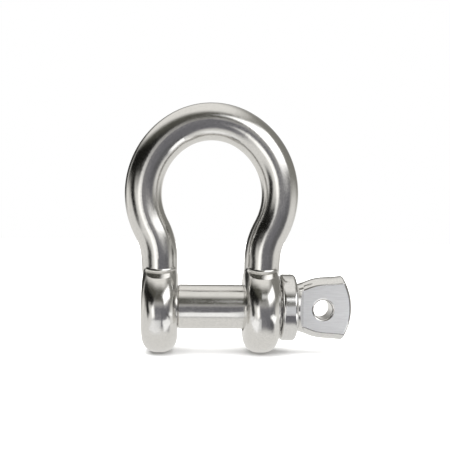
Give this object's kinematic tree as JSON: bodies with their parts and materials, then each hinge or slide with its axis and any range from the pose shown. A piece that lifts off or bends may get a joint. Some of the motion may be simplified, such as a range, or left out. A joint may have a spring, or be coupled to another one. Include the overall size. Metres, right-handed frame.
{
  "type": "bow shackle",
  "caption": "Screw-pin bow shackle: rounded bow with two eyes, closed by a threaded pin with a collar and a flat paddle head.",
  "frame": {"origin": "on the screw pin's axis, midway between the two eyes", "axes": "+X along the pin towards its head, +Y through the shackle, +Z from the pin up towards the crown of the bow"},
  "size_m": [0.0759, 0.03, 0.0829],
  "materials": {
    "polished_stainless": "mirror-polished forging with faint polishing marks",
    "machined_stainless": "as machined",
    "satin_stainless": "satin, brighter at its edges"
  },
  "bodies": {
    "bow": {"bow": "polished_stainless"},
    "pin_shank": {"pin_shank": "polished_stainless"},
    "pin_head": {"pin_head": "satin_stainless", "pin_thread": "machined_stainless"}
  },
  "joints": [
    {"name": "pin_slide", "type": "slide", "parent": "bow", "child": "pin_shank", "axis": [1, 0, 0], "range_m": [0, 0.05]},
    {"name": "pin_turn", "type": "hinge", "parent": "pin_shank", "child": "pin_head", "pos_m": [0, 0, 0], "axis": [1, 0, 0], "range_deg": [0, 9000]}
  ],
  "couplings": [
    {"joint": "pin_turn", "follows": "pin_slide", "rad_per_m": 3141.6}
  ]
}
